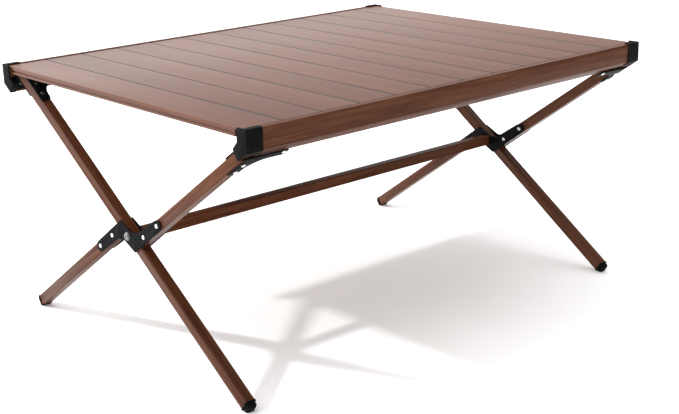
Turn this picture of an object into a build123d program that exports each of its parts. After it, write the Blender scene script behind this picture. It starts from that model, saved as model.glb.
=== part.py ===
from build123d import *
import math
import os

# Folding side table with a roll-up slatted top on two scissor frames.
# X runs along the rails, Y from front to back, Z up; the origin is on the floor, centred.
# The front frame (front rail and its legs) crosses the rear frame at a pivot on each side.

# ---- driving dimensions, mm ----
LENGTH = 900.0
WIDTH = 700.0
TOP_HEIGHT = 448.0
SLAT_COUNT = 12
SLAT_PITCH = 74.5
SLAT_THICKNESS = 13.0
LEG_ANGLE = 35.0
LEG_SIZE = 19.0
TUBE_WALL = 1.5
TUBE_RADIUS = 2.0
TUBE_BORE_RADIUS = 0.8
PIVOT_Y = -10.0
PIVOT_Z = 213.0

# ---- rails ----
RAIL_END = LENGTH / 2 - 3.0
RAIL_OUTER = WIDTH / 2 - 2.0
RAIL_INNER = RAIL_OUTER - 20.0
RAIL_FACE_BOTTOM = TOP_HEIGHT - 32.0
RAIL_WALL = 1.8
LIP_WIDTH = 9.5
LIP_Z = TOP_HEIGHT + 0.5
LEDGE_Z = TOP_HEIGHT - 3.0

# ---- slats ----
SLAT_GAP = 1.2
SLAT_EDGE_RADIUS = 0.6
SLAT_END_GAP = 3.5
SLAT_HALF = RAIL_OUTER - LIP_WIDTH - SLAT_END_GAP
SLAT_BODY_HALF = RAIL_INNER - 8.0
SLAT_BOTTOM = TOP_HEIGHT - SLAT_THICKNESS
SLAT_WALL = 1.4
GROOVE_DEPTH = 2.2
GROOVE_HEIGHT = 3.6
GROOVE_LEVEL = TOP_HEIGHT - SLAT_THICKNESS * 0.45
PLUG_DEPTH = 18.0
PLUG_FLANGE = 2.0
PLUG_INSET = 0.5

# ---- legs and hubs ----
HALF_LEG = LEG_SIZE / 2
LEG_OFFSET = LEG_SIZE + 0.5
LEG_SIDE_X = 439.5
PLATE = 2.5
SWING_CLEARANCE = 0.3
HUB_END_CUT = 22.0
HUB_HALF_LENGTH = 105.0
REAR_LEG_TOP = SLAT_BOTTOM - 2.0
CROSSBAR_SIZE = 19.0
CROSSBAR_PLUG_DEPTH = 30.0
BOLT_RADIUS = 3.0
BOLT_HEAD_RADIUS = 6.0
BOLT_HEAD_HEIGHT = 2.6
BOLT_THREAD = 20.0
BOLT_END_ROOM = 3.0
SOCKET_RADIUS = 2.2
HEAD_ROUNDING = 0.7
WASHER_FIT = 0.1
WASHER_RIM = 1.2
WASHER_THICKNESS = 1.0
RUNNING_CLEARANCE = 0.05
BUSH_RADIUS = 5.0
RIVET_RADIUS = 2.0
RIVET_GRIP = 3.0
RIVET_HEAD_RADIUS = 3.8
RIVET_HEAD_HEIGHT = 1.8

# ---- corners ----
GUSSET = 2.0
GUSSET_RAIL_ARM = 78.0
GUSSET_LEG_ARM = 74.0
GUSSET_CORNER = 4.0
INNER_GUSSET_ARM = 52.0
REAR_PLATE_LENGTH = 62.0
REAR_GUSSET_ARM = 58.0
BEND_STEPS = 6
OUTER_GUSSET_START = 18.0
OUTER_GUSSET_RIVET = 21.0
CAP_WALL = 1.6
CAP_LENGTH = 30.0
CAP_END = 3.0
CAP_INSET = 1.0
CAP_PLUG_DEPTH = 12.0
GUSSET_EDGE_RISE = 3.0

# ---- feet ----
FOOT_FLANGE = 2.5
FOOT_LIP = 1.0
FOOT_TIP = 9.0
FOOT_FLAT = 1.0
FOOT_PLUG = 25.0
FOOT_FLANGE_RADIUS = 3.0
FOOT_TIP_INSET = 1.0
FOOT_TIP_CORNER = 4.0
FOOT_TIP_ROUND = 5.5

SLOPE_COS = math.cos(math.radians(LEG_ANGLE))
SLOPE_SIN = math.sin(math.radians(LEG_ANGLE))
PIVOT = Vector(0, PIVOT_Y, PIVOT_Z)
INNER_SIDE_X = LEG_SIDE_X - LEG_SIZE
SIDES = {"left": -1, "right": 1}


class Slope:
    """Directions of one frame's legs: t runs down a leg, n is square to it and faces up."""

    def __init__(self, toward_back):
        self.t = Vector(0, toward_back * SLOPE_COS, -SLOPE_SIN)
        self.n = Vector(0, toward_back * SLOPE_SIN, SLOPE_COS)

    def point(self, t, n, x=0.0):
        return PIVOT + self.t * t + self.n * n + Vector(x, 0, 0)

    def along(self, y, n):
        """The t of the point at this y on the line of constant n."""
        return (y - PIVOT_Y - self.n.Y * n) / self.t.Y

    def plane(self, t, n, x=0.0):
        """Plane square to the leg; its local x is n and its local z is t."""
        return Plane(origin=self.point(t, n, x), x_dir=self.n, z_dir=self.t)

    def block(self, t_span, n_span, x_span):
        middle = [(a + b) / 2 for a, b in (t_span, n_span, x_span)]
        sizes = [abs(b - a) for a, b in (n_span, x_span, t_span)]
        return self.plane(middle[0], middle[1], middle[2]) * Box(*sizes)

    def side_plate(self, outline, x_span):
        """Plate across X from an outline of (t, n) points."""
        points = [self.point(t, n, x_span[0]) for t, n in outline]
        return extrude(make_face(Polyline(*points, close=True)), x_span[1] - x_span[0], dir=(1, 0, 0))

    def top_plate(self, outline, n_span):
        """Plate in the plane of the legs from an outline of (x, t) points."""
        points = [self.point(t, n_span[0], x) for x, t in outline]
        face = make_face(Polyline(*points, close=True))
        return extrude(face, n_span[1] - n_span[0], dir=self.n)


FRONT = Slope(1)
REAR = Slope(-1)


def block(x_span, y_span, z_span):
    spans = (x_span, y_span, z_span)
    middle = [(a + b) / 2 for a, b in spans]
    return Pos(*middle) * Box(*[abs(b - a) for a, b in spans])


def x_prism(outline, x_span):
    """Prism along X from an outline of (y, z) points."""
    face = make_face(Polyline(*[(x_span[0], y, z) for y, z in outline], close=True))
    return extrude(face, x_span[1] - x_span[0], dir=(1, 0, 0))


def rod(radius, start, direction, length):
    cylinder = Cylinder(radius, length, align=(Align.CENTER, Align.CENTER, Align.MIN))
    return Plane(origin=start, z_dir=direction) * cylinder


def rivet(seat, outward):
    """Domed head on a surface with a shank that goes into it."""
    head = rod(RIVET_HEAD_RADIUS, seat, outward, RIVET_HEAD_HEIGHT)
    crown = [e for e in head.edges() if (e.center() - seat).dot(outward) > RIVET_HEAD_HEIGHT / 2]
    shank = rod(RIVET_RADIUS, seat, outward * -1, RIVET_GRIP)
    return fillet(crown, RIVET_HEAD_HEIGHT * HEAD_ROUNDING) + shank


def pierce(shape, seats):
    """Cut the hole of every rivet that passes near this piece."""
    for seat, outward in seats:
        shape = shape - rod(RIVET_RADIUS, seat + outward, outward * -1, RIVET_GRIP + 1.0)
    return shape


def mirrored(shape, side):
    return shape if side > 0 else mirror(shape, about=Plane.YZ)


def mirrored_seats(seats, side):
    return [(Vector(p.X * side, p.Y, p.Z), Vector(d.X * side, d.Y, d.Z)) for p, d in seats]


# ---- rails and caps: drawn for the front and mirrored for the back ----
CHAMFER_END_Z = RAIL_FACE_BOTTOM - (RAIL_OUTER - RAIL_INNER) * SLOPE_SIN / SLOPE_COS
RAIL_OUTLINE = [
    (-RAIL_OUTER, LIP_Z),
    (-RAIL_OUTER, RAIL_FACE_BOTTOM),
    (-RAIL_INNER, CHAMFER_END_Z),
    (-RAIL_INNER, LEDGE_Z),
    (-RAIL_OUTER + LIP_WIDTH, LEDGE_Z),
    (-RAIL_OUTER + LIP_WIDTH, LIP_Z),
]
LUG_OUTLINE = [
    (-RAIL_INNER - 1, CHAMFER_END_Z - 1),
    (-RAIL_INNER - 1, CHAMFER_END_Z + 28),
    (-RAIL_INNER + 10, CHAMFER_END_Z + 16),
    (-RAIL_INNER + 8, CHAMFER_END_Z + 9),
]


def rail_hollow():
    """Closed box section inside the rail, under the ledge."""
    outer = RAIL_OUTER - RAIL_WALL
    inner = RAIL_INNER + RAIL_WALL
    drop = RAIL_WALL * (1 - SLOPE_SIN) / SLOPE_COS
    return [
        (-outer, LEDGE_Z - RAIL_WALL),
        (-outer, RAIL_FACE_BOTTOM + drop),
        (-inner, CHAMFER_END_Z + RAIL_WALL / SLOPE_COS + RAIL_WALL * SLOPE_SIN / SLOPE_COS),
        (-inner, LEDGE_Z - RAIL_WALL),
    ]


def front_rail():
    body = x_prism(RAIL_OUTLINE, (-RAIL_END, RAIL_END))
    return body - x_prism(rail_hollow(), (-RAIL_END, RAIL_END))


def front_cap():
    """Right front cap: end plate, wrap over the rail's outer faces and a lug beside the leg."""
    end = RAIL_END + CAP_END
    start = end - CAP_LENGTH
    wrap = [
        (-RAIL_OUTER - CAP_WALL, LIP_Z + CAP_WALL),
        (-RAIL_OUTER - CAP_WALL, RAIL_FACE_BOTTOM - CAP_WALL * 0.3),
        (-RAIL_INNER - 1, CHAMFER_END_Z - 1),
        (-RAIL_INNER - 1, LIP_Z + CAP_WALL),
    ]
    skirt = x_prism(wrap, (start, end))
    skirt = skirt - x_prism(RAIL_OUTLINE, (start - 1, RAIL_END))
    lip_end = -RAIL_OUTER + LIP_WIDTH - CAP_INSET
    skirt = skirt - block((start - 1, RAIL_END), (lip_end, 0), (0, TOP_HEIGHT + 20))
    skirt = skirt - x_prism(rail_hollow(), (start - 1, RAIL_END))
    lug = x_prism(LUG_OUTLINE, (LEG_SIDE_X + 0.2, end))
    end_fill = block((RAIL_END, end), (-RAIL_INNER - 2, -RAIL_INNER), (CHAMFER_END_Z, LIP_Z))
    cap = skirt + end_fill + (lug - x_prism(RAIL_OUTLINE, (0, RAIL_END)))
    plug = x_prism(rail_hollow(), (RAIL_END - CAP_PLUG_DEPTH, RAIL_END + CAP_END / 2))
    return cap + plug


# ---- leg tubes, hub plates, feet ----
def square_tube(slope, t_span, n, x, x_size=LEG_SIZE):
    """Square tube with rounded corners along a leg direction."""
    place = slope.plane(t_span[0], n, x)
    length = t_span[1] - t_span[0]
    outer = extrude(place * RectangleRounded(LEG_SIZE, x_size, TUBE_RADIUS), length)
    hollow = RectangleRounded(LEG_SIZE - 2 * TUBE_WALL, x_size - 2 * TUBE_WALL, TUBE_BORE_RADIUS)
    return outer - extrude(place * hollow, length)


def foot_shape(slope, t, n, x, x_size=LEG_SIZE):
    """Plug, flange and rounded tip at a tube's end."""
    place = slope.plane(t, n, x)
    reach = FOOT_FLANGE + FOOT_TIP
    flange_sizes = [size + 2 * FOOT_LIP for size in (LEG_SIZE, x_size)]
    tip_sizes = [size - FOOT_TIP_INSET for size in (LEG_SIZE, x_size)]
    flange = extrude(place * RectangleRounded(*flange_sizes, FOOT_FLANGE_RADIUS), FOOT_FLANGE)
    tip = extrude(place * RectangleRounded(*tip_sizes, FOOT_TIP_CORNER), reach)
    far = [e for e in tip.edges() if (e.center() - place.origin).dot(slope.t) > reach - 0.1]
    tip = fillet(far, FOOT_TIP_ROUND)
    bore = RectangleRounded(LEG_SIZE - 2 * TUBE_WALL, x_size - 2 * TUBE_WALL, TUBE_BORE_RADIUS)
    plug = extrude(slope.plane(t - FOOT_PLUG, n, x) * bore, FOOT_PLUG + 1)
    return flange + tip + plug


def leg_end(slope, n):
    """The t of a tube's lower end whose foot just reaches the floor, less its flat."""
    trial = foot_shape(slope, 0, n, 0)
    return (trial.bounding_box().min.Z + FOOT_FLAT) / SLOPE_SIN


def foot(slope, t, n, x, x_size=LEG_SIZE):
    """Foot with the small flat that it stands on."""
    return foot_shape(slope, t, n, x, x_size) - Pos(0, 0, -50) * Box(2000, 2000, 100)


FRONT_LEG_END = leg_end(FRONT, LEG_OFFSET)
REAR_LEG_END = leg_end(REAR, 0)
LEG_X = LEG_SIDE_X - HALF_LEG
REAR_LEG_WIDTH = LEG_SIZE - 2 * SWING_CLEARANCE


def upper_leg():
    """From the front rail's inner face down to the hub."""
    tube = square_tube(FRONT, (FRONT.along(-RAIL_OUTER, -LEG_OFFSET), -HUB_END_CUT), -LEG_OFFSET, LEG_X)
    return tube - block((0, LENGTH), (-2 * WIDTH, -RAIL_INNER), (0, 2 * TOP_HEIGHT))


def lower_leg():
    return square_tube(FRONT, (HUB_END_CUT, FRONT_LEG_END), LEG_OFFSET, LEG_X)


def crossing_leg():
    """Straight rear-frame leg between the hub plates, cut level under the slats."""
    tube = square_tube(REAR, (REAR.along(WIDTH / 2, 0), REAR_LEG_END), 0, LEG_X, REAR_LEG_WIDTH)
    tube = tube - block((0, LENGTH), (-WIDTH, WIDTH), (REAR_LEG_TOP, 2 * TOP_HEIGHT))
    return tube - rod(BUSH_RADIUS, (LEG_SIDE_X + 1, PIVOT_Y, PIVOT_Z), (-1, 0, 0), LEG_SIZE + 2)


HUB_ARM = [(2, 30), (96, 29), (HUB_HALF_LENGTH - 2, 26), (HUB_HALF_LENGTH, 19), (HUB_HALF_LENGTH - 2, 13)]
HUB_WAIST = [(94, 10), (60, 8.5), (30, 8), (14, -1)]
HUB_HALF = HUB_ARM + HUB_WAIST
HUB_OUTLINE = HUB_HALF + [(-t, -n) for t, n in HUB_HALF]
HUB_RIVETS = [(44, LEG_OFFSET), (93, LEG_OFFSET), (-44, -LEG_OFFSET), (-93, -LEG_OFFSET)]


def hub_plate(x_span):
    """Z-shaped plate that joins an upper leg to a lower leg across the pivot."""
    plate = FRONT.side_plate(HUB_OUTLINE, x_span)
    plate = fillet(plate.edges().filter_by(Axis.X), 2.0)
    start = (x_span[0] - 1, PIVOT_Y, PIVOT_Z)
    return plate - rod(BOLT_RADIUS + RUNNING_CLEARANCE, start, (1, 0, 0), PLATE + 2)


# ---- gussets ----
def gusset_outline(near_x, rail_t, leg_t, arm_width, bend_radius):
    """Boomerang outline in (x, t): one arm along the rail, one down the leg, a round inner bend."""
    inner_x = near_x - LEG_SIZE
    far_x = near_x - GUSSET_RAIL_ARM
    corner_t = rail_t + arm_width
    bend = []
    for step in range(BEND_STEPS + 1):
        angle = math.radians(90 * step / BEND_STEPS)
        bend_x = inner_x - bend_radius * (1 - math.cos(angle))
        bend_t = corner_t + bend_radius * (1 - math.sin(angle))
        bend.append((bend_x, bend_t))
    cut = GUSSET_CORNER
    rail_end = [(far_x + cut, corner_t), (far_x, corner_t - cut), (far_x, rail_t), (near_x, rail_t)]
    return [(near_x, leg_t), (inner_x + cut, leg_t), (inner_x, leg_t - cut)] + bend + rail_end


OUTER_N = -LEG_OFFSET - HALF_LEG
INNER_N = -LEG_OFFSET + HALF_LEG
CHAMFER_T = FRONT.along(-RAIL_OUTER, OUTER_N)


def front_outer_gusset():
    """Plate on the leg's outer face and the rail's chamfer."""
    start = CHAMFER_T + OUTER_GUSSET_START
    outline = gusset_outline(LEG_SIDE_X, start, CHAMFER_T + GUSSET_LEG_ARM, 16, 30)
    return FRONT.top_plate(outline, (OUTER_N - GUSSET, OUTER_N))


def front_inner_gusset():
    """Plate on the leg's inner face with a flange on the rail's inner face."""
    meet_t = FRONT.along(-RAIL_INNER, INNER_N)
    outline = gusset_outline(LEG_SIDE_X, meet_t, meet_t + INNER_GUSSET_ARM, 14, 28)
    plate = FRONT.top_plate(outline, (INNER_N, INNER_N + GUSSET))
    plate = plate - block((0, LENGTH), (-WIDTH, -RAIL_INNER), (0, 2 * TOP_HEIGHT))
    flange_x = (LEG_SIDE_X - GUSSET_RAIL_ARM, INNER_SIDE_X - 0.5)
    top = FRONT.point(meet_t, INNER_N).Z + 1.0
    flange_y = (-RAIL_INNER, -RAIL_INNER + GUSSET)
    return plate + block(flange_x, flange_y, (CHAMFER_END_Z + GUSSET_EDGE_RISE, top))


def rear_outer_gusset():
    """Bracket under the rear leg: a plate on its lower face and a flange on the rail."""
    start = REAR.along(RAIL_INNER, -HALF_LEG)
    outline = [
        (LEG_SIDE_X, start),
        (LEG_SIDE_X, start + REAR_PLATE_LENGTH),
        (INNER_SIDE_X, start + REAR_PLATE_LENGTH),
        (INNER_SIDE_X, start),
    ]
    plate = REAR.top_plate(outline, (-HALF_LEG - GUSSET, -HALF_LEG))
    limit = block((0, LENGTH), (-WIDTH, RAIL_INNER), (0, REAR_LEG_TOP))
    flange_z = (CHAMFER_END_Z + GUSSET_EDGE_RISE, REAR_LEG_TOP)
    flange = block((INNER_SIDE_X, LEG_SIDE_X), (RAIL_INNER - GUSSET, RAIL_INNER), flange_z)
    web_start = PIVOT_Y + ((REAR_LEG_TOP - PIVOT_Z) * SLOPE_COS + HALF_LEG + GUSSET) / SLOPE_SIN - 4
    web = block((INNER_SIDE_X, LEG_SIDE_X), (web_start, RAIL_INNER), (REAR_LEG_TOP - GUSSET, REAR_LEG_TOP))
    leg = REAR.block((start - 60, 0), (-HALF_LEG, HALF_LEG), (0, LENGTH))
    return (plate & limit) + flange + (web - leg)


def rear_inner_gusset():
    """Plate on the rear leg's upper face with a level web and a flange on the rail."""
    top_y = PIVOT_Y + ((REAR_LEG_TOP - PIVOT_Z) * SLOPE_COS - HALF_LEG - GUSSET) / SLOPE_SIN
    start = REAR.along(top_y, HALF_LEG + GUSSET)
    outline = gusset_outline(LEG_SIDE_X, start - 4, start + REAR_GUSSET_ARM, 20, 30)
    plate = REAR.top_plate(outline, (HALF_LEG, HALF_LEG + GUSSET))
    limit = block((0, LENGTH), (-WIDTH, WIDTH), (0, REAR_LEG_TOP))
    web_x = (LEG_SIDE_X - GUSSET_RAIL_ARM, INNER_SIDE_X - 0.5)
    web = block(web_x, (top_y, RAIL_INNER), (REAR_LEG_TOP - GUSSET, REAR_LEG_TOP))
    flange = block(web_x, (RAIL_INNER - GUSSET, RAIL_INNER), (CHAMFER_END_Z + GUSSET_EDGE_RISE, REAR_LEG_TOP))
    return (plate & limit) + web + flange


# ---- rivet places on the right-hand side: (seat, outward direction) ----
def hub_rivets():
    outside = [(FRONT.point(t, n, LEG_SIDE_X + PLATE), Vector(1, 0, 0)) for t, n in HUB_RIVETS]
    inside = [(FRONT.point(t, n, INNER_SIDE_X - PLATE), Vector(-1, 0, 0)) for t, n in HUB_RIVETS]
    return outside + inside


def front_corner_rivets():
    down = FRONT.n * -1
    spots = [(LEG_X, CHAMFER_T + 42), (LEG_X, CHAMFER_T + 66), (LEG_SIDE_X - 70, CHAMFER_T + OUTER_GUSSET_RIVET)]
    outer = [(FRONT.point(t, OUTER_N - GUSSET, x), down) for x, t in spots]
    meet_t = FRONT.along(-RAIL_INNER, INNER_N)
    inner = [(FRONT.point(meet_t + t, INNER_N + GUSSET, LEG_X), FRONT.n) for t in (20, 38)]
    flange_z = CHAMFER_END_Z + 12
    flange = [
        (Vector(LEG_SIDE_X - x, -RAIL_INNER + GUSSET, flange_z), Vector(0, 1, 0)) for x in (34, 68)
    ]
    return outer + inner + flange


def rear_corner_rivets():
    start = REAR.along(RAIL_INNER, -HALF_LEG)
    lower = [(REAR.point(start + t, -HALF_LEG - GUSSET, LEG_X), REAR.n * -1) for t in (34, 54)]
    top_y = PIVOT_Y + ((REAR_LEG_TOP - PIVOT_Z) * SLOPE_COS - HALF_LEG - GUSSET) / SLOPE_SIN
    upper_start = REAR.along(top_y, HALF_LEG + GUSSET)
    upper = [(REAR.point(upper_start + t, HALF_LEG + GUSSET, LEG_X), REAR.n) for t in (16, 42)]
    flange = [
        (Vector(LEG_SIDE_X - x, RAIL_INNER - GUSSET, CHAMFER_END_Z + 14), Vector(0, -1, 0))
        for x in (HALF_LEG, 34, 68)
    ]
    return lower + upper + flange


# ---- crossbar and pivots ----
def crossbar():
    """Square tube between the two hubs, just clear of their inner plates."""
    half = INNER_SIDE_X - PLATE - SWING_CLEARANCE
    place = Plane(origin=(-half, PIVOT_Y, PIVOT_Z), x_dir=(0, 1, 0), z_dir=(1, 0, 0))
    outer = extrude(place * RectangleRounded(CROSSBAR_SIZE, CROSSBAR_SIZE, TUBE_RADIUS), 2 * half)
    bore = CROSSBAR_SIZE - 2 * TUBE_WALL
    return outer - extrude(place * RectangleRounded(bore, bore, TUBE_BORE_RADIUS), 2 * half)


def crossbar_plug():
    """Solid plug in the crossbar's end that the pivot bolt screws into."""
    end = INNER_SIDE_X - PLATE - SWING_CLEARANCE
    place = Plane(origin=(end - CROSSBAR_PLUG_DEPTH, PIVOT_Y, PIVOT_Z), x_dir=(0, 1, 0), z_dir=(1, 0, 0))
    bore = CROSSBAR_SIZE - 2 * TUBE_WALL
    plug = extrude(place * RectangleRounded(bore, bore, TUBE_BORE_RADIUS), CROSSBAR_PLUG_DEPTH)
    return plug - rod(BOLT_RADIUS, (end + 1, PIVOT_Y, PIVOT_Z), (-1, 0, 0), BOLT_THREAD + BOLT_END_ROOM)


def pivot_bolt():
    """Button-head bolt through the hub plates, the crossing leg and its bush."""
    seat = LEG_SIDE_X + PLATE + WASHER_THICKNESS + WASHER_FIT
    head = rod(BOLT_HEAD_RADIUS, (seat, PIVOT_Y, PIVOT_Z), (1, 0, 0), BOLT_HEAD_HEIGHT)
    crown = [e for e in head.edges() if e.center().X > seat + 1]
    head = fillet(crown, BOLT_HEAD_HEIGHT * HEAD_ROUNDING)
    tip = INNER_SIDE_X - PLATE - SWING_CLEARANCE - BOLT_THREAD
    socket = Plane(origin=(seat + 1.0, PIVOT_Y, PIVOT_Z), z_dir=(1, 0, 0)) * RegularPolygon(SOCKET_RADIUS, 6)
    return head - extrude(socket, 5) + rod(BOLT_RADIUS, (tip, PIVOT_Y, PIVOT_Z), (1, 0, 0), seat - tip)


def pivot_washer():
    seat = LEG_SIDE_X + PLATE + WASHER_FIT
    disc = rod(BOLT_HEAD_RADIUS + WASHER_RIM, (seat, PIVOT_Y, PIVOT_Z), (1, 0, 0), WASHER_THICKNESS)
    return disc - rod(BOLT_RADIUS, (seat - 1, PIVOT_Y, PIVOT_Z), (1, 0, 0), 3)


def leg_bush():
    start = LEG_X - REAR_LEG_WIDTH / 2
    sleeve = rod(BUSH_RADIUS, (start, PIVOT_Y, PIVOT_Z), (1, 0, 0), REAR_LEG_WIDTH)
    bore_start = (start - 1, PIVOT_Y, PIVOT_Z)
    return sleeve - rod(BOLT_RADIUS + RUNNING_CLEARANCE, bore_start, (1, 0, 0), LEG_SIZE + 2)


# ---- slats ----
def slat_centre(index):
    return (index - (SLAT_COUNT - 1) / 2) * SLAT_PITCH


def slat_cells(centre, y_span):
    """The two hollow cells of a slat's section."""
    width = (SLAT_PITCH - SLAT_GAP - 2 * GROOVE_DEPTH - 3 * SLAT_WALL) / 2
    height = SLAT_THICKNESS - 2 * SLAT_WALL
    middle_z = TOP_HEIGHT - SLAT_THICKNESS / 2
    cells = []
    for side in (-1, 1):
        x = centre + side * (width + SLAT_WALL) / 2
        cells.append(
            block(
                (x - width / 2, x + width / 2),
                y_span,
                (middle_z - height / 2, middle_z + height / 2),
            )
        )
    return cells


def slat(centre):
    """Hollow slat with a groove along each side and a thin tongue at each end."""
    half = (SLAT_PITCH - SLAT_GAP) / 2
    x_span = (centre - half, centre + half)
    skin = block(x_span, (-SLAT_HALF, SLAT_HALF), (LEDGE_Z, TOP_HEIGHT))
    top_edges = [e for e in skin.edges().filter_by(Axis.Y) if e.center().Z > TOP_HEIGHT - 0.1]
    skin = fillet(top_edges, SLAT_EDGE_RADIUS)
    body = block(x_span, (-SLAT_BODY_HALF, SLAT_BODY_HALF), (SLAT_BOTTOM, LEDGE_Z))
    shape = skin + body
    for side in (-1, 1):
        edge = centre + side * half
        groove_x = (edge - side * GROOVE_DEPTH, edge + side)
        shape = shape - block(
            (min(groove_x), max(groove_x)),
            (-SLAT_BODY_HALF - 1, SLAT_BODY_HALF + 1),
            (GROOVE_LEVEL - GROOVE_HEIGHT, GROOVE_LEVEL),
        )
    for cell in slat_cells(centre, (-SLAT_BODY_HALF, SLAT_BODY_HALF)):
        shape = shape - cell
    return shape


def slat_plugs(centre):
    """End plugs in a slat's cells, joined by a flange across each end."""
    half = (SLAT_PITCH - SLAT_GAP) / 2
    plugs = []
    for end in (-1, 1):
        inner = end * (SLAT_BODY_HALF - PLUG_DEPTH)
        face = end * SLAT_BODY_HALF
        outer = end * (SLAT_BODY_HALF + PLUG_FLANGE)
        plug = block(
            (centre - half + PLUG_INSET, centre + half - PLUG_INSET),
            (min(face, outer), max(face, outer)),
            (SLAT_BOTTOM + PLUG_INSET, LEDGE_Z),
        )
        for cell in slat_cells(centre, (min(inner, face), max(inner, face))):
            under_ledge = block((-LENGTH, LENGTH), (-WIDTH, WIDTH), (0, TOP_HEIGHT - SLAT_WALL))
            plug = plug + (cell & under_ledge)
        plugs.append(plug)
    return plugs


def write(name, solids):
    """One STEP file for a node, with one solid or a group of separate solids."""
    shape = solids[0] if len(solids) == 1 else Compound(children=[Solid(s.solid().wrapped) for s in solids])
    shape.label = name
    export_step(shape, f"parts/{name}.step")


def both_sides(piece, seats=()):
    """The left and right copies of a right-hand piece, pierced for the rivets near it."""
    shape = pierce(piece, seats)
    return {name: mirrored(shape, side) for name, side in SIDES.items()}


def main():
    os.makedirs("parts", exist_ok=True)
    hub_seats = hub_rivets()
    front_seats = front_corner_rivets()
    rear_seats = rear_corner_rivets()

    rail = front_rail()
    all_front = front_seats + mirrored_seats(front_seats, -1)
    all_rear = rear_seats + mirrored_seats(rear_seats, -1)
    write("front_rail", [pierce(rail, all_front)])
    write("rear_rail", [pierce(mirror(rail, about=Plane.XZ), all_rear)])

    pairs = {
        "front_cap": both_sides(front_cap()),
        "rear_cap": both_sides(mirror(front_cap(), about=Plane.XZ)),
        "front_outer_gusset": both_sides(front_outer_gusset(), front_seats),
        "front_inner_gusset": both_sides(front_inner_gusset(), front_seats),
        "rear_outer_gusset": both_sides(rear_outer_gusset(), rear_seats),
        "rear_inner_gusset": both_sides(rear_inner_gusset(), rear_seats),
        "upper_leg": both_sides(upper_leg(), front_seats + hub_seats),
        "lower_leg": both_sides(lower_leg(), hub_seats),
        "crossing_leg": both_sides(crossing_leg(), rear_seats),
        "outer_hub_plate": both_sides(hub_plate((LEG_SIDE_X, LEG_SIDE_X + PLATE)), hub_seats),
        "inner_hub_plate": both_sides(hub_plate((INNER_SIDE_X - PLATE, INNER_SIDE_X)), hub_seats),
        "rear_foot": both_sides(foot(FRONT, FRONT_LEG_END, LEG_OFFSET, LEG_X)),
        "front_foot": both_sides(foot(REAR, REAR_LEG_END, 0, LEG_X, REAR_LEG_WIDTH)),
        "crossbar_plug": both_sides(crossbar_plug()),
    }
    for name, sides in pairs.items():
        for side, shape in sides.items():
            write(f"{name}_{side}", [shape])

    groups = {
        "front_rivets": [rivet(*seat) for seat in front_seats + hub_seats],
        "rear_rivets": [rivet(*seat) for seat in rear_seats],
        "leg_bushes": [leg_bush()],
        "pivot_bolts": [pivot_bolt()],
        "pivot_washers": [pivot_washer()],
    }
    for name, solids in groups.items():
        write(name, solids + [mirrored(s, -1) for s in solids])

    write("crossbar", [crossbar()])
    for index in range(SLAT_COUNT):
        centre = slat_centre(index)
        write(f"slat_{index + 1:02d}", [slat(centre)])
        write(f"slat_plugs_{index + 1:02d}", slat_plugs(centre))


main()
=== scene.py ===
import bmesh
import bpy
import math
from mathutils import Matrix, Vector


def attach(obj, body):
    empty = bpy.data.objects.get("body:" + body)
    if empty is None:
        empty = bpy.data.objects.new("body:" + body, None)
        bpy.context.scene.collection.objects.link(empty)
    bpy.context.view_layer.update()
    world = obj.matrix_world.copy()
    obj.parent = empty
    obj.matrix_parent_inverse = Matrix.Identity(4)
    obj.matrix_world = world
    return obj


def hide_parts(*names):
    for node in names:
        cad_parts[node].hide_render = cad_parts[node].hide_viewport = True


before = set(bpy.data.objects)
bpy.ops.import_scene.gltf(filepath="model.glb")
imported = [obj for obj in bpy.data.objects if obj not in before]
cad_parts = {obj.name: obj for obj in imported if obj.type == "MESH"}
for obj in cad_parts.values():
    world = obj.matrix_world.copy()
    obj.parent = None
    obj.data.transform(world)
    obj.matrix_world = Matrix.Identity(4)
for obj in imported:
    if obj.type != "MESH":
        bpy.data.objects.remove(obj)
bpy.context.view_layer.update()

# Looks for the folding side table: wood-grain coated aluminium slats, rails and legs,
# moulded black caps and feet, powder-coated plates, bright front rivets and dark rear rivets.
# Metres throughout; X along the rails, Y to the back, Z up.

SLAT_COUNT = 12
SLAT_PITCH = 0.0745
LEG_ANGLE = math.radians(35)
ALONG_RAIL = Vector((1, 0, 0))
ALONG_SLAT = Vector((0, 1, 0))
UP = Vector((0, 0, 1))
FRONT_LEG = Vector((0, math.cos(LEG_ANGLE), -math.sin(LEG_ANGLE)))
REAR_LEG = Vector((0, -math.cos(LEG_ANGLE), -math.sin(LEG_ANGLE)))
FRONT_UP = Vector((0, math.sin(LEG_ANGLE), math.cos(LEG_ANGLE)))
REAR_UP = Vector((0, -math.sin(LEG_ANGLE), math.cos(LEG_ANGLE)))
MM = 0.001
SIDES = ("left", "right")

# ---- camera, fitted to the photographed table ----
CAMERA_PLACE = (-1.4909, -1.7277, 0.8779)
CAMERA_AZIMUTH = math.radians(-41.341)
CAMERA_ELEVATION = math.radians(17.504)
CAMERA_ROLL = math.radians(-1.354)
SENSOR_WIDTH = 36.0
FOCAL_LENGTH = 68.42
SHIFT_X = -0.0024
SHIFT_Y = 0.0015


def sides(*names):
    return [f"{name}_{side}" for name in names for side in SIDES]


# ---- building node graphs ----

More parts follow.
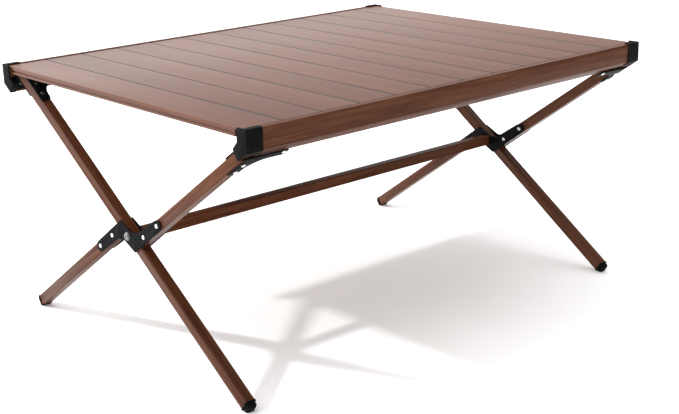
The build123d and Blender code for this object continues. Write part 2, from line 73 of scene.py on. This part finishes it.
class Graph:
    """A material's node tree, built by calls that return the new node's first output."""

    def __init__(self, name):
        self.material = bpy.data.materials.new(name)
        self.material.use_nodes = True
        self.nodes = self.material.node_tree.nodes
        self.links = self.material.node_tree.links
        self.shader = self.nodes["Principled BSDF"]

    def feed(self, socket, value):
        if isinstance(value, bpy.types.NodeSocket):
            self.links.new(value, socket)
        else:
            socket.default_value = value

    def add(self, kind, inputs, **settings):
        made = self.nodes.new(kind)
        for name, value in settings.items():
            setattr(made, name, value)
        for name, value in inputs.items():
            self.feed(made.inputs[name], value)
        return made.outputs[0]

    def coords(self, kind="Object"):
        return self.nodes.new("ShaderNodeTexCoord").outputs[kind]

    def math(self, operation, first, second=0.0, third=0.0):
        values = {0: first, 1: second}
        if operation == "MULTIPLY_ADD":
            values[2] = third
        return self.add("ShaderNodeMath", values, operation=operation)

    def dot(self, vector, direction):
        made = self.nodes.new("ShaderNodeVectorMath")
        made.operation = "DOT_PRODUCT"
        self.feed(made.inputs[0], vector)
        made.inputs[1].default_value = direction
        return made.outputs["Value"]

    def scaled(self, vector, factor):
        return self.add("ShaderNodeVectorMath", {0: vector, "Scale": factor}, operation="SCALE")

    def combine(self, x, y, z):
        return self.add("ShaderNodeCombineXYZ", {"X": x, "Y": y, "Z": z})

    def noise(self, vector, scale, detail=3.0, rough=0.5, distortion=0.0):
        inputs = {"Vector": vector, "Scale": scale, "Detail": detail}
        inputs.update({"Roughness": rough, "Distortion": distortion})
        return self.add("ShaderNodeTexNoise", inputs)

    def voronoi(self, vector, scale):
        return self.add("ShaderNodeTexVoronoi", {"Vector": vector, "Scale": scale})

    def ramp(self, value, *stops):
        made = self.nodes.new("ShaderNodeValToRGB")
        self.feed(made.inputs[0], value)
        elements = made.color_ramp.elements
        while len(elements) < len(stops):
            elements.new(0.5)
        for element, (place, colour) in zip(elements, stops):
            element.position = place
            element.color = (*colour, 1.0)
        return made.outputs[0]

    def span(self, value, low, high, to_low, to_high):
        inputs = {"Value": value, "From Min": low, "From Max": high}
        inputs.update({"To Min": to_low, "To Max": to_high})
        return self.add("ShaderNodeMapRange", inputs)

    def mix(self, factor, first, second, blend="MIX"):
        made = self.nodes.new("ShaderNodeMix")
        made.data_type = "RGBA"
        made.blend_type = blend
        self.feed(made.inputs["Factor"], factor)
        self.feed(made.inputs[6], first)
        self.feed(made.inputs[7], second)
        return made.outputs[2]

    def bump(self, height, distance, strength=1.0):
        return self.add("ShaderNodeBump", {"Height": height, "Distance": distance, "Strength": strength})

    def finish(self, **sockets):
        for name, value in sockets.items():
            self.feed(self.shader.inputs[name.replace("_", " ")], value)
        return self.material


# ---- materials ----

WOOD_DARK = (0.062, 0.0180, 0.0074)
WOOD_MID = (0.102, 0.0335, 0.0150)
WOOD_LIGHT = (0.150, 0.057, 0.028)
WOOD_PORE = (0.020, 0.008, 0.005)
# painted shade: the colour laid on slat side walls and beside the inner seams, standing in for the shadow
# in the gaps
SEAM_PAINTED_SHADE = (0.008, 0.004, 0.003)
GRAIN_ALONG = 9.0  # grain features per metre along the tube
GRAIN_ACROSS = 190.0  # and across it
BOARD_SHIFT = 3.17  # how far the grain moves from one slat to the next
BROAD_GRAIN = 0.22
FINE_GRAIN = 4.0
SATIN_SCALE = 900.0
GRAIN_DEPTH = 0.00012
INNER_SEAMS = 0.44  # seams further out than this from the middle are the table's own ends
# widths of the painted shade beside each seam: full inside SEAM_CORE, gone by SEAM_FADE
SEAM_CORE = 0.0014
SEAM_FADE = 0.0030


def wood_grain(name, along, boards=False, tint=1.0, contrast=1.0, roughness=0.38, gloss=1.22):
    """Wood-grain finish running along one direction; boards gives each slat its own grain and tone, and
    painted shade in and beside the seams.
    """
    g = Graph(name)
    across = along.cross(UP).normalized()
    upward = across.cross(along)
    place = g.coords()
    a = g.dot(place, along)
    b = g.dot(place, across)
    c = g.dot(place, upward)
    board = g.math("FLOOR", g.math("DIVIDE", g.dot(place, ALONG_RAIL), SLAT_PITCH))
    shift = g.math("MULTIPLY", board, BOARD_SHIFT if boards else 0.0)
    grain = g.combine(
        g.math("MULTIPLY_ADD", a, GRAIN_ALONG, shift),
        g.math("MULTIPLY", b, GRAIN_ACROSS),
        g.math("MULTIPLY", c, GRAIN_ACROSS),
    )
    streaks = g.noise(grain, 1.0, 4.0, 0.62, 0.5)
    broad = g.noise(g.scaled(grain, BROAD_GRAIN), 1.0, 2.0, 0.5, 0.8)
    blend = g.math("MULTIPLY_ADD", broad, 0.45, g.math("MULTIPLY", streaks, 0.55))
    low, middle, high = [
        tuple(tint * (mid + contrast * (v - mid)) for v, mid in zip(colour, WOOD_MID))
        for colour in (WOOD_DARK, WOOD_MID, WOOD_LIGHT)
    ]
    colour = g.ramp(blend, (0.33, low), (0.50, middle), (0.68, high))
    pores = g.noise(g.scaled(grain, FINE_GRAIN), 1.0, 2.0, 0.6)
    pore_mask = g.span(pores, 0.60, 0.72, 0.0, 0.5 * contrast)
    colour = g.mix(pore_mask, colour, (*WOOD_PORE, 1.0))
    if boards:
        board_tone = g.noise(g.combine(board, 0.0, 0.0), 3.7, 0.0)
        light = g.span(board_tone, 0.3, 0.7, 0.90, 1.10)
        colour = g.mix(1.0, colour, g.combine(light, light, light), "MULTIPLY")
        # painted shade: slat side walls and a band either side of each inner seam darken towards this
        # colour, where the gaps' shadow falls
        facing = g.math("ABSOLUTE", g.dot(g.coords("Normal"), ALONG_RAIL))
        inside = g.math("LESS_THAN", g.math("ABSOLUTE", g.dot(place, ALONG_RAIL)), INNER_SEAMS)
        sidewall_painted_shade = g.span(facing, 0.35, 0.75, 0.0, 0.85)
        from_seam = g.math("PINGPONG", g.dot(place, ALONG_RAIL), SLAT_PITCH / 2)
        seam_edge_painted_shade = g.span(from_seam, SEAM_CORE, SEAM_FADE, 0.92, 0.0)
        painted_seam_shade = g.math("MULTIPLY", g.math("MAXIMUM", sidewall_painted_shade, seam_edge_painted_shade), inside)
        colour = g.mix(painted_seam_shade, colour, (*SEAM_PAINTED_SHADE, 1.0))
    satin = g.noise(place, SATIN_SCALE, 3.0, 0.6)
    sheen = g.math("MULTIPLY_ADD", satin, 0.5, g.math("MULTIPLY", streaks, 0.5))
    rough = g.span(sheen, 0.3, 0.7, roughness - 0.07, roughness + 0.07)
    height = g.math("MULTIPLY_ADD", satin, 0.6, g.math("MULTIPLY", pore_mask, -0.8))
    normal = g.bump(height, GRAIN_DEPTH, 0.5)
    return g.finish(Base_Color=colour, Roughness=rough, Normal=normal, IOR=gloss)


def moulded_skin(name, scale, depth, dark, light, roughness, gloss=1.25):
    """Plastic or powder coat: a spark-textured skin with a painted highlight on its raised grain."""
    g = Graph(name)
    place = g.coords()
    cells = g.voronoi(place, scale)
    grain = g.noise(place, scale * 0.8, 4.0, 0.65)
    patch = g.noise(place, 40.0, 3.0, 0.6)
    height = g.math("MULTIPLY_ADD", cells, 0.5, grain)
    # painted highlight: the raised grain gets the lighter colour
    colour = g.mix(g.span(grain, 0.42, 0.68, 0.0, 1.0), (*dark, 1.0), (*light, 1.0))
    rough = g.span(patch, 0.3, 0.7, roughness - 0.08, roughness + 0.08)
    normal = g.bump(height, depth, 0.9)
    return g.finish(Base_Color=colour, Roughness=rough, Normal=normal, IOR=gloss)


def bare_metal(name, colour, roughness, scale):
    """Bright fastener metal with fine handling scratches."""
    g = Graph(name)
    place = g.coords()
    scratches = g.noise(place, scale, 5.0, 0.7, 1.5)
    dull = tuple(v * 0.72 for v in colour)
    tone = g.mix(g.span(scratches, 0.35, 0.7, 0.0, 1.0), (*colour, 1.0), (*dull, 1.0))
    rough = g.span(scratches, 0.3, 0.7, roughness - 0.07, roughness + 0.12)
    normal = g.bump(scratches, 0.00008, 0.5)
    return g.finish(Base_Color=tone, Roughness=rough, Normal=normal, Metallic=1.0)


rail_wood = wood_grain("rail_wood", ALONG_RAIL, tint=0.88, contrast=1.25, gloss=1.17)
bar_wood = wood_grain("bar_wood", ALONG_RAIL, tint=0.95, contrast=1.25, gloss=1.10)
slat_wood = wood_grain(
    "slat_wood", ALONG_SLAT, boards=True, tint=1.22, contrast=0.6, roughness=0.36, gloss=1.42
)
front_leg_wood = wood_grain("front_leg_wood", FRONT_LEG, tint=0.9, contrast=1.3)
rear_leg_wood = wood_grain("rear_leg_wood", REAR_LEG, tint=0.9, contrast=1.3)
black_plastic = moulded_skin(
    "textured_black_plastic",
    scale=620.0,
    depth=0.0008,
    dark=(0.0012, 0.0012, 0.0014),
    light=(0.009, 0.0087, 0.009),
    roughness=0.58,
    gloss=1.14,
)
black_plate = moulded_skin(
    "black_powder_coat",
    scale=2600.0,
    depth=0.00018,
    dark=(0.0028, 0.0028, 0.0032),
    light=(0.011, 0.0107, 0.011),
    roughness=0.56,
    gloss=1.13,
)
nylon = moulded_skin(
    "natural_nylon",
    scale=900.0,
    depth=0.0001,
    dark=(0.50, 0.48, 0.43),
    light=(0.62, 0.60, 0.55),
    roughness=0.45,
)
# the rear rivets get a dark metal, the front ones a bright one
dark_metal = bare_metal("dark_rear_rivets", (0.10, 0.10, 0.11), roughness=0.40, scale=700.0)
bright_metal = bare_metal("bright_aluminium", (0.88, 0.88, 0.90), roughness=0.24, scale=700.0)
zinc_metal = bare_metal("zinc_plated_steel", (0.30, 0.30, 0.32), roughness=0.42, scale=500.0)

WELD_DISTANCE = 0.00001
FLAT_ANGLE = math.radians(0.5)
SHARP_ANGLE = math.radians(32)


def dress(names, material, edge=0.0, steps=2):
    """Gives CAD nodes their material and, where edge isn't 0, softened edges that catch the light."""
    for name in names:
        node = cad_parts[name]
        for place in node.material_slots:
            place.material = material
        if edge:
            weld = node.modifiers.new("weld", "WELD")
            weld.merge_threshold = WELD_DISTANCE
            flat = node.modifiers.new("flat", "DECIMATE")
            flat.decimate_type = "DISSOLVE"
            flat.angle_limit = FLAT_ANGLE
            bevel = node.modifiers.new("edge", "BEVEL")
            bevel.width = edge
            bevel.segments = steps
            bevel.limit_method = "ANGLE"
            bevel.angle_limit = SHARP_ANGLE
            bevel.harden_normals = True
            node.data.shade_smooth()


slat_names = [f"slat_{i:02d}" for i in range(1, SLAT_COUNT + 1)]
plug_names = [f"slat_plugs_{i:02d}" for i in range(1, SLAT_COUNT + 1)]
dress(slat_names, slat_wood, 0.0005)
dress(plug_names, black_plastic, 0.0003)
dress(["front_rail", "rear_rail"], rail_wood, 0.0006)
dress(["crossbar"], bar_wood, 0.0006)
dress(sides("upper_leg", "lower_leg"), front_leg_wood, 0.0007)
dress(sides("crossing_leg"), rear_leg_wood, 0.0007)
dress(sides("front_cap", "rear_cap", "front_foot", "rear_foot"), black_plastic, 0.0009)
dress(sides("crossbar_plug"), black_plastic, 0.0004)
dress(sides("outer_hub_plate", "inner_hub_plate"), black_plate, 0.0005)
gusset_names = sides("front_outer_gusset", "front_inner_gusset", "rear_outer_gusset", "rear_inner_gusset")
dress(gusset_names, black_plate, 0.0005)
dress(["pivot_bolts", "pivot_washers"], zinc_metal, 0.0004)
dress(["leg_bushes"], nylon, 0.0003)

# ---- blind rivets: a domed head with the pulled stem left in its pit ----
RIVET_RIM = 0.003
RIVET_PROFILE = (
    (0.0, -3.0), (2.0, -3.0), (2.0, 0.0), (3.8, 0.0), (3.8, 0.35), (3.45, 0.95), (2.7, 1.45),
    (1.9, 1.72), (1.45, 1.78), (1.25, 1.6), (1.15, 0.9), (0.95, 0.82), (0.88, 1.1), (0.0, 1.2),
)
RIVET_STEPS = 28


def islands(node):
    """Lists of vertex places, one list for each separate solid in a CAD node."""
    shell = bmesh.new()
    shell.from_mesh(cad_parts[node].data)
    bmesh.ops.remove_doubles(shell, verts=shell.verts, dist=WELD_DISTANCE)
    left = set(shell.verts)
    found = []
    while left:
        queue = [left.pop()]
        places = []
        while queue:
            vertex = queue.pop()
            places.append(vertex.co.copy())
            for edge in vertex.link_edges:
                other = edge.other_vert(vertex)
                if other in left:
                    left.remove(other)
                    queue.append(other)
        found.append(places)
    shell.free()
    return found


def rivet_seat(places, axes):
    """(middle of the head's underside, outward direction) of one CAD rivet."""

    def spread(direction):
        heights = [p.dot(direction) for p in places]
        return min(heights), max(heights)

    axis = min(axes, key=lambda d: spread(d)[1] - spread(d)[0])
    side = axis.orthogonal().normalized()
    third = axis.cross(side)
    centre = side * (sum(spread(side)) / 2) + third * (sum(spread(third)) / 2)
    rim = [p.dot(axis) for p in places if (p - centre - axis * p.dot(axis)).length > RIVET_RIM]
    low, high = spread(axis)
    outward = 1 if (min(rim) + max(rim)) / 2 > (low + high) / 2 else -1
    base = min(rim) if outward > 0 else max(rim)
    return centre + axis * base, axis * outward


def make_rivets(node, body, axes, material):
    """Turned rivets that stand for a CAD node's plain ones."""
    shell = bmesh.new()
    for places in islands(node):
        seat, outward = rivet_seat(places, axes)
        turn = outward.to_track_quat("Z", "Y").to_matrix().to_4x4()
        place = Matrix.Translation(seat) @ turn
        rows = []
        for step in range(RIVET_STEPS):
            angle = 2 * math.pi * step / RIVET_STEPS
            ring = [
                (x * MM * math.cos(angle), x * MM * math.sin(angle), z * MM)
                for x, z in RIVET_PROFILE[1:-1]
            ]
            rows.append([shell.verts.new(place @ Vector(p)) for p in ring])
        levels = (RIVET_PROFILE[0][1], RIVET_PROFILE[-1][1])
        ends = [shell.verts.new(place @ Vector((0, 0, z * MM))) for z in levels]
        for this, following in zip(rows, rows[1:] + rows[:1]):
            for i in range(len(this) - 1):
                shell.faces.new((this[i], following[i], following[i + 1], this[i + 1]))
            shell.faces.new((ends[0], following[0], this[0]))
            shell.faces.new((ends[1], this[-1], following[-1]))
    mesh = bpy.data.meshes.new(f"{node}_turned")
    shell.to_mesh(mesh)
    shell.free()
    mesh.shade_smooth()
    mesh.materials.append(material)
    piece = bpy.data.objects.new(f"{node}_turned", mesh)
    bpy.context.scene.collection.objects.link(piece)
    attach(piece, body)
    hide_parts(node)


make_rivets("front_rivets", "front_frame", (ALONG_RAIL, ALONG_SLAT, FRONT_UP), bright_metal)
make_rivets("rear_rivets", "rear_frame", (ALONG_RAIL, ALONG_SLAT, REAR_UP), dark_metal)

# ---- black strips in the slits between slats, painted shade that keeps each seam dark; each held by the slat on its left ----
SLAT_TOP = 0.448
STRIP_HALF_WIDTH = 0.00055
STRIP_ROOT = 0.0008
STRIP_DROP = 0.0018
STRIP_DEPTH = 0.0040
STRIP_END = 0.002


def make_seam_strip(index):
    """A box in the slit after one slat; the hinge is at the slats' top, so rolling clears it."""
    seam = (index - SLAT_COUNT / 2) * SLAT_PITCH
    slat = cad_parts[f"slat_{index:02d}"]
    along = [(slat.matrix_world @ Vector(corner)).y for corner in slat.bound_box]
    xs = (seam - STRIP_ROOT, seam + STRIP_HALF_WIDTH)
    ys = (min(along) + STRIP_END, max(along) - STRIP_END)
    zs = (SLAT_TOP - STRIP_DROP - STRIP_DEPTH, SLAT_TOP - STRIP_DROP)
    corners = [(x, y, z) for x in xs for y in ys for z in zs]
    faces = [(0, 1, 3, 2), (4, 6, 7, 5), (0, 4, 5, 1), (2, 3, 7, 6), (0, 2, 6, 4), (1, 5, 7, 3)]
    mesh = bpy.data.meshes.new(f"seam_shade_strip_{index:02d}")
    mesh.from_pydata(corners, [], faces)
    # painted shade: the black strip stands in for the shadow deep in the seam
    mesh.materials.append(black_plastic)
    piece = bpy.data.objects.new(f"seam_shade_strip_{index:02d}", mesh)
    bpy.context.scene.collection.objects.link(piece)
    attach(piece, f"top_{index:02d}")


for index in range(1, SLAT_COUNT):
    make_seam_strip(index)

# ---- floor, light and camera ----

FLOOR_SIZE = 60.0
FLOOR_GLOW = 0.17
SKY_BRIGHT_SIDE = (-0.35, 0.93, 0.0)
SKY_DIM = 0.03
SKY_BRIGHT = 1.5
SKY_OVERHEAD = 1.4
SUN_TRAVEL = (0.85, -0.74, -1.0)
SUN_STRENGTH = 1.8
SUN_SOFTNESS = math.radians(3)


def make_floor():
    g = Graph("pale_floor")
    place = g.coords()
    patch = g.noise(place, 1.3, 4.0, 0.6)
    colour = g.ramp(patch, (0.3, (0.90, 0.90, 0.90)), (0.7, (0.94, 0.94, 0.94)))
    material = g.finish(
        Base_Color=colour,
        Roughness=0.85,
        IOR=1.3,
        Emission_Color=(1, 1, 1, 1),
        Emission_Strength=FLOOR_GLOW,
    )
    mesh = bpy.data.meshes.new("floor")
    half = FLOOR_SIZE / 2
    corners = [(-half, -half, 0), (half, -half, 0), (half, half, 0), (-half, half, 0)]
    mesh.from_pydata(corners, [], [(0, 1, 2, 3)])
    mesh.materials.append(material)
    floor = bpy.data.objects.new("floor", mesh)
    bpy.context.scene.collection.objects.link(floor)


def make_world(toward, dim, bright, overhead):
    """Studio sky: bright on the side that toward points to, dim on the other, brightest overhead."""
    world = bpy.data.worlds.new("studio")
    world.use_nodes = True
    nodes = world.node_tree.nodes
    links = world.node_tree.links
    place = nodes.new("ShaderNodeTexCoord")
    side = nodes.new("ShaderNodeVectorMath")
    side.operation = "DOT_PRODUCT"
    side.inputs[1].default_value = toward
    links.new(place.outputs["Generated"], side.inputs[0])
    walls = nodes.new("ShaderNodeMapRange")
    walls.interpolation_type = "SMOOTHSTEP"
    walls.inputs["From Min"].default_value = -1.0
    walls.inputs["To Min"].default_value = dim
    walls.inputs["To Max"].default_value = bright
    links.new(side.outputs["Value"], walls.inputs["Value"])
    parts = nodes.new("ShaderNodeSeparateXYZ")
    links.new(place.outputs["Generated"], parts.inputs[0])
    ceiling = nodes.new("ShaderNodeMapRange")
    ceiling.interpolation_type = "SMOOTHSTEP"
    ceiling.inputs["From Min"].default_value = 0.45
    ceiling.inputs["To Max"].default_value = overhead
    links.new(parts.outputs["Z"], ceiling.inputs["Value"])
    total = nodes.new("ShaderNodeMath")
    links.new(walls.outputs[0], total.inputs[0])
    links.new(ceiling.outputs[0], total.inputs[1])
    background = nodes["Background"]
    background.inputs["Color"].default_value = (1.0, 1.0, 1.0, 1.0)
    links.new(total.outputs[0], background.inputs["Strength"])
    bpy.context.scene.world = world


def make_sun(direction, strength, softness):
    """Light travelling along direction, with a softness angle for the shadows' edges."""
    lamp = bpy.data.lights.new("key", "SUN")
    lamp.energy = strength
    lamp.angle = softness
    key = bpy.data.objects.new("key", lamp)
    key.rotation_euler = Vector(direction).to_track_quat("-Z", "Y").to_euler()
    bpy.context.scene.collection.objects.link(key)


def make_camera():
    lens = bpy.data.cameras.new("camera")
    lens.sensor_width = SENSOR_WIDTH
    lens.lens = FOCAL_LENGTH
    lens.shift_x = SHIFT_X
    lens.shift_y = SHIFT_Y
    camera = bpy.data.objects.new("camera", lens)
    turn = Matrix.Rotation(CAMERA_AZIMUTH, 4, "Z")
    tilt = Matrix.Rotation(math.pi / 2 - CAMERA_ELEVATION, 4, "X")
    roll = Matrix.Rotation(CAMERA_ROLL, 4, "Z")
    camera.matrix_world = Matrix.Translation(CAMERA_PLACE) @ turn @ tilt @ roll
    bpy.context.scene.collection.objects.link(camera)
    bpy.context.scene.camera = camera


make_floor()
make_world(SKY_BRIGHT_SIDE, SKY_DIM, SKY_BRIGHT, SKY_OVERHEAD)
make_sun(SUN_TRAVEL, SUN_STRENGTH, SUN_SOFTNESS)
make_camera()
bpy.context.scene.view_settings.view_transform = "Standard"
